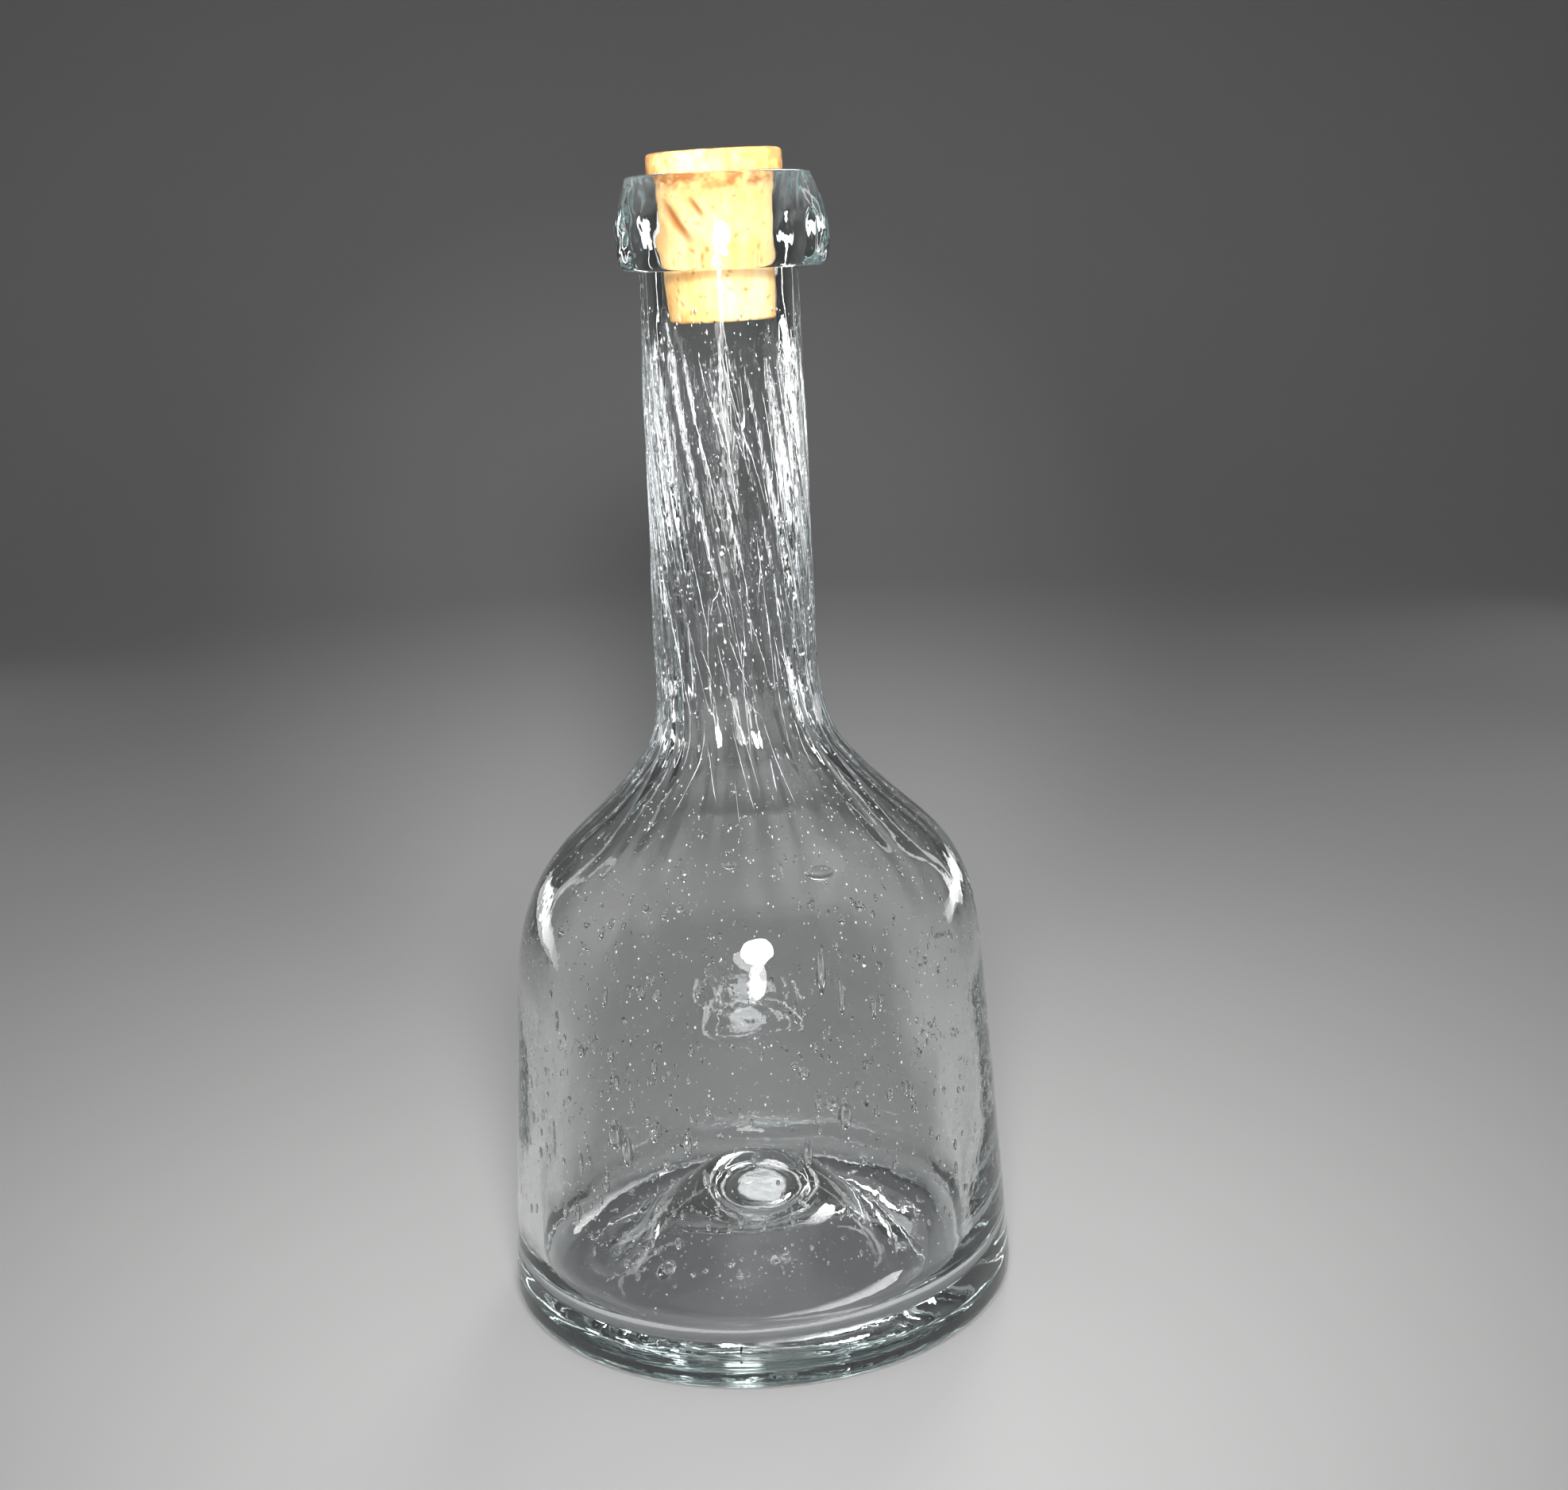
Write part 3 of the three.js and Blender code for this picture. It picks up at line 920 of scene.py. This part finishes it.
# Dark slits (lenticels): (degrees round, height, half length, half width, lean in degrees)
SLITS = [
    (-36, 262, 5.6, 1.2, 38), (-17, 264.8, 2.6, 0.8, 35), (-25, 253.5, 1.2, 1.0, 10),
    (72, 258, 3.5, 0.6, -30), (95, 264, 4.5, 0.8, 25), (150, 256, 6.0, 0.8, 35),
    (-120, 250, 4.0, 0.9, 30), (-80, 268, 3.0, 0.6, 20),
]
SLIT_EDGE = 1.4
# Slits are cut in the sides only, which lie outside this radius
SLIT_LEAST_RADIUS = 10

PORES = 460
PORE_SIZES = (0.18, 0.5, 1.2)
PORE_STRETCH = (1, 2.6)
PORE_STRENGTHS = (0.35, 0.9)
PORE_EDGE = 1.6
PORE_DEPTH = 0.5

# Roughness of the surface: how deep and how large its fine and its broad unevenness are
ROUGH_FINE = (0.07, 1.6)
ROUGH_BROAD = (0.10, 5.0)
ROUGH_SHARE = 0.6

# The painted shadow under the head at the top of the shank, the tint of the head, the painted shade at its
# lower edge and the wear of its upper edge
HEAD_SHADOW_DROP = 2.0
HEAD_SHADOW_REACH = 2.4
HEAD_TINT = 0.62
HEAD_TINT_MARGIN = 0.1
# Where the painted shade at the head's lower edge sits, and how far it reaches
UNDER_EDGE_SHADE_RISE = 0.3
UNDER_EDGE_SHADE_REACH = 0.7
UPPER_WEAR_REACH = 0.8
EDGE_SHADE_AND_WEAR_SHARE = 0.6
CORK_DARKENING_MOST = 0.9
# Mottling of the painted shade, the wear and the head's tint: how much each grain of noise adds, and its
# size
MOTTLE_MEAN = 0.6
MOTTLE_BROAD = (0.9, 2.2)
MOTTLE_FINE = (0.5, 0.9)
HEAD_TINT_EVEN = 0.7
HEAD_TINT_MOTTLED = 0.5
# The foot of the cork gets no painted shade, wear or tint
PLAIN_FOOT = 1


def cork_outline():
    shank_top = MOUTH_RADIUS - STOPPER_CLEARANCE
    shank_foot = shank_top - STOPPER_TAPER * (SEAT - CORK_FOOT)
    head = shank_top + HEAD_OVERHANG
    under = (head - HEAD_UNDER_ROUNDING, SEAT)
    chamfer = (shank_foot - STOPPER_CHAMFER, CORK_FOOT)
    chamfer_top = (shank_foot, CORK_FOOT + STOPPER_CHAMFER)
    edge = (head, SEAT + HEAD_UNDER_ROUNDING)
    brow = (head, CORK_TOP - HEAD_ROUNDING)
    top = (head - HEAD_ROUNDING, CORK_TOP)
    return join(
        sweep([(0, CORK_FOOT), chamfer], 30),
        sweep([chamfer, chamfer_top], 2),
        sweep([chamfer_top, (shank_top, SEAT)], 96),
        sweep([(shank_top, SEAT), under], 3),
        sweep([under, (head, SEAT), edge], 3),
        sweep([edge, brow], 11),
        sweep([brow, (head, CORK_TOP), top], 7),
        sweep([top, (0, CORK_TOP)], 34),
    )


def cork_marks(points):
    """How deep each point of the cork lies in a pit or slit, 0 to 1."""
    flat = points.reshape(-1, 3)
    depth = np.zeros(len(flat))
    pick = np.random.default_rng(4)
    for _ in range(PORES):
        centre = flat[pick.integers(len(flat))]
        size = mostly_small(pick, *PORE_SIZES)
        long_way = pick.normal(size=3)
        long_way /= np.linalg.norm(long_way)
        gap = flat - centre
        along = gap @ long_way
        across = np.linalg.norm(gap - np.outer(along, long_way), axis=1)
        near = (across / size) ** 2 + (along / (size * pick.uniform(*PORE_STRETCH))) ** 2
        depth = np.maximum(depth, pick.uniform(*PORE_STRENGTHS) * np.exp(-near * PORE_EDGE))
    angle = np.arctan2(flat[:, 0], -flat[:, 1])
    radius = np.hypot(flat[:, 0], flat[:, 1])
    for where, height, half_length, half_width, lean in SLITS:
        gap = turn_between(angle, radians(where)) * radius
        rise = flat[:, 2] - height
        along = rise * cos(radians(lean)) - gap * sin(radians(lean))
        across = rise * sin(radians(lean)) + gap * cos(radians(lean))
        near = (along / half_length) ** 4 + (across / half_width) ** 2
        depth = np.maximum(depth, np.exp(-near * SLIT_EDGE) * (radius > SLIT_LEAST_RADIUS))
    return depth.reshape(points.shape[:2])


def hump(height, middle, reach, power):
    return np.exp(-((height - middle) / reach) ** power)


def mottling(point):
    (broad, broad_size), (fine, fine_size) = MOTTLE_BROAD, MOTTLE_FINE
    mottle = MOTTLE_MEAN + broad * waves(point, broad_size, seed=17.0)
    return mottle + fine * waves(point, fine_size, seed=23.0)


def cork_shade_wear_and_tint(points):
    """The painted shadow under the head at the top of the shank, painted shade at the head's lower edge, the
    wear of its upper edge and the head's tint.
    """
    darkening = np.zeros(points.shape[:2])
    for row, ring in enumerate(points):
        height = ring[0][2]
        if height < CORK_FOOT + PLAIN_FOOT:
            continue
        # Painted shadow under the head, on the top of the shank
        head_shadow = hump(height, SEAT - HEAD_SHADOW_DROP, HEAD_SHADOW_REACH, 4)
        # Painted shade at the head's lower edge, and wear at its upper edge
        under_edge_shade = hump(height, SEAT + UNDER_EDGE_SHADE_RISE, UNDER_EDGE_SHADE_REACH, 2)
        edge_shade_and_wear = under_edge_shade + EDGE_SHADE_AND_WEAR_SHARE * hump(height, CORK_TOP, UPPER_WEAR_REACH, 2)
        tint = HEAD_TINT if height > SEAT - HEAD_TINT_MARGIN else 0
        for column, point in enumerate(ring):
            mottle = mottling(point)
            # marks holds the painted shade and the wear, mottled
            marks = mottle * max(head_shadow, EDGE_SHADE_AND_WEAR_SHARE * edge_shade_and_wear)
            tinted = tint * (HEAD_TINT_EVEN + HEAD_TINT_MOTTLED * mottle)
            darkening[row, column] = np.clip(max(marks, tinted), 0, CORK_DARKENING_MOST)
    return darkening


def roughness(point):
    """How far in the cork's surface lies at a point, pits and slits apart."""
    (fine, fine_size), (broad, broad_size) = ROUGH_FINE, ROUGH_BROAD
    return fine * (1 + waves(point, fine_size, seed=9.0)) + broad * (1 + waves(point, broad_size, seed=2.0))


def build_cork(material):
    outline = cork_outline()
    angle = 2 * pi * np.arange(CORK_COLUMNS) / CORK_COLUMNS
    radius, height = outline[:, 0][:, None], outline[:, 1][:, None]
    points = np.stack([
        radius * np.sin(angle)[None, :],
        -radius * np.cos(angle)[None, :],
        np.broadcast_to(height, (len(outline), CORK_COLUMNS)),
    ], -1)
    marks = cork_marks(points)
    way = np.gradient(outline, axis=0)
    way /= np.linalg.norm(way, axis=1)[:, None]
    inward = np.stack([-way[:, 1], way[:, 0]], 1)
    for row, (ring, into) in enumerate(zip(points, inward)):
        if outline[row, 0] < SAME_PLACE:
            continue
        for column, point in enumerate(ring):
            push = roughness(point) * ROUGH_SHARE + PORE_DEPTH * marks[row, column]
            point[0] += into[0] * push * np.sin(angle[column])
            point[1] -= into[0] * push * np.cos(angle[column])
            point[2] += into[1] * push
    shell = Shell()
    shell.rows(rings(points))
    cork = shell.piece("cork", material)
    # One attribute carries the pits, the slits, the wear, the head's tint and the painted shade under the
    # head
    dark = np.maximum(marks, cork_shade_wear_and_tint(points))
    values = [float(v) for row, ring in zip(dark, rings(points)) for v in row[:len(ring)]]
    cork.data.attributes.new("dark_marks_and_shade", "FLOAT", "POINT").data.foreach_set("value", values)
    pivot = Vector((0, 0, SEAT * MM))
    tilt = Matrix.Rotation(-CORK_TILT, 4, "Y")
    lower = Matrix.Translation((0, 0, -CORK_DROP * MM))
    cork.data.transform(Matrix.Translation(pivot) @ lower @ tilt @ Matrix.Translation(-pivot))
    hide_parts("cork_stopper")
    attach(cork, "stopper")


# Studio

# The floor is round and curves up far out, so that it looks the same behind the carafe from every side
FLOOR_RADIUS = 1100.0
COVE_RADIUS = 900.0
COVE_HEIGHT = 2200.0
COVE_COLUMNS = 96
FLOOR_COLOUR = (0.55, 0.55, 0.545)
FLOOR_SHADE = 0.96
SKY_COLOUR = (0.12, 0.125, 0.135, 1)
SKY_STRENGTH = 0.4


def floor_material():
    material, tree, shader = new_material("floor_paint")
    grain = add(tree, "ShaderNodeTexNoise", Scale=30.0, Detail=4.0)
    shaded = (*[c * FLOOR_SHADE for c in FLOOR_COLOUR], 1)
    colours = add_ramp(tree, (0, shaded), (1, (*FLOOR_COLOUR, 1)))
    wire(tree, (grain, "Fac", colours, "Fac"), (colours, "Color", shader, "Base Color"))
    put(shader, Roughness=0.7)
    return material


def build_cove(material):
    outside = FLOOR_RADIUS + COVE_RADIUS
    outline = join(
        sweep([(0, 0), (FLOOR_RADIUS, 0)], 4),
        sweep([(FLOOR_RADIUS, 0), (outside, 0), (outside, COVE_RADIUS)], 24),
        sweep([(outside, COVE_RADIUS), (outside, COVE_HEIGHT)], 4),
    )
    angle = 2 * pi * np.arange(COVE_COLUMNS) / COVE_COLUMNS
    radius, height = outline[:, 0][:, None], outline[:, 1][:, None]
    points = np.stack([radius * np.sin(angle), radius * np.cos(angle), height + 0 * angle], -1)
    shell = Shell()
    shell.rows(rings(points))
    shell.piece("floor", material)


# Lights: name, shape, place and point aimed at in metres, width, height, watts, and how far each fans out
# in degrees
LIGHTS = [
    # The flash by the camera, narrow enough to light the carafe more than the floor in front of it
    ("flash", "DISK", (0.01, -0.50, 0.315), (0, 0, 0.19), 0.15, 0.15, 1.4, 80),
    # Lower and dimmer, for the streak of light that runs down the neck from the cork
    ("neck_streak", "ELLIPSE", (0.012, -0.50, 0.175), (0.005, 0, 0.19), 0.07, 0.15, 0.08, 80),
    # A little more for the neck and the cork, which stand behind thicker glass
    ("neck_light", "DISK", (0.02, -0.50, 0.36), (0, 0, 0.235), 0.06, 0.06, 0.22, 26),
    # From behind, for the far side of the cork
    ("back_light", "DISK", (0.25, 0.90, 0.90), (0, 0, 0.20), 0.5, 0.5, 0.25, 32),
    # Low and far back, for the thick glass of the heel, which guides light round the base
    ("left_low", "RECTANGLE", (-0.80, 0.70, 0.10), (0, 0, 0.05), 0.7, 0.12, 0.10, 80),
    ("right_low", "RECTANGLE", (0.80, 0.70, 0.10), (0, 0, 0.05), 0.7, 0.12, 0.10, 80),
    # Upright strips, for the edges of the body and the neck
    ("left_strip", "RECTANGLE", (-0.50, 0.40, 0.30), (0, 0, 0.13), 0.03, 0.4, 0.08, 180),
    ("right_strip", "RECTANGLE", (0.50, 0.40, 0.30), (0, 0, 0.13), 0.03, 0.4, 0.12, 180),
    # The soft light overhead, which lights the floor
    ("top_light", "RECTANGLE", (0, 0, 1.2), (0, 0, 0), 1.4, 1.4, 3.0, 180),
]


def area_light(name, shape, place, target, width, height, power, spread):
    lamp = bpy.data.lights.new(name, "AREA")
    lamp.shape = shape
    lamp.size = width
    lamp.size_y = height
    lamp.energy = power
    lamp.spread = radians(spread)
    light = bpy.data.objects.new(name, lamp)
    light.location = place
    light.rotation_euler = (Vector(target) - Vector(place)).to_track_quat("-Z", "Y").to_euler()
    bpy.context.scene.collection.objects.link(light)


def build_studio():
    build_cove(floor_material())
    world = bpy.data.worlds.new("studio")
    bpy.context.scene.world = world
    world.use_nodes = True
    put(world.node_tree.nodes["Background"], Color=SKY_COLOUR, Strength=SKY_STRENGTH)
    for light in LIGHTS:
        area_light(*light)


# Camera, fitted to the photograph: its place in metres, its angles in radians
CAMERA_PLACE = (0.0, -0.497, 0.258)
CAMERA_PITCH = 0.2362
CAMERA_YAW = 0.0213
CAMERA_ROLL = 0.0405
CAMERA_NEAREST = 0.01
FOCAL_PIXELS = 2653
PHOTO_WIDTH = 1974
SENSOR = 36.0


def build_camera():
    camera = bpy.data.cameras.new("camera")
    camera.sensor_fit = "HORIZONTAL"
    camera.sensor_width = SENSOR
    camera.lens = SENSOR * FOCAL_PIXELS / PHOTO_WIDTH
    camera.clip_start = CAMERA_NEAREST
    piece = bpy.data.objects.new("camera", camera)
    bpy.context.scene.collection.objects.link(piece)
    level = cos(CAMERA_PITCH)
    look = Vector((sin(CAMERA_YAW) * level, cos(CAMERA_YAW) * level, -sin(CAMERA_PITCH)))
    facing = look.to_track_quat("-Z", "Y").to_matrix().to_4x4()
    piece.matrix_world = Matrix.Translation(CAMERA_PLACE) @ facing @ Matrix.Rotation(-CAMERA_ROLL, 4, "Z")
    bpy.context.scene.camera = piece


# Light in thick glass is turned back many times before it leaves, and each turn counts as a bounce
GLASS_BOUNCES = 32
DIFFUSE_BOUNCES = 3
SHADOW_SURFACES = 40


def set_rays(scene):
    scene.cycles.max_bounces = GLASS_BOUNCES
    scene.cycles.transmission_bounces = GLASS_BOUNCES
    scene.cycles.glossy_bounces = GLASS_BOUNCES
    scene.cycles.diffuse_bounces = DIFFUSE_BOUNCES
    scene.cycles.transparent_max_bounces = SHADOW_SURFACES
    scene.cycles.caustics_refractive = False
    scene.cycles.caustics_reflective = False
    scene.view_settings.view_transform = "Standard"


build_camera()
build_studio()
build_glass(glass_material())
build_specks(speck_material())
build_cork(cork_material())
set_rays(bpy.context.scene)

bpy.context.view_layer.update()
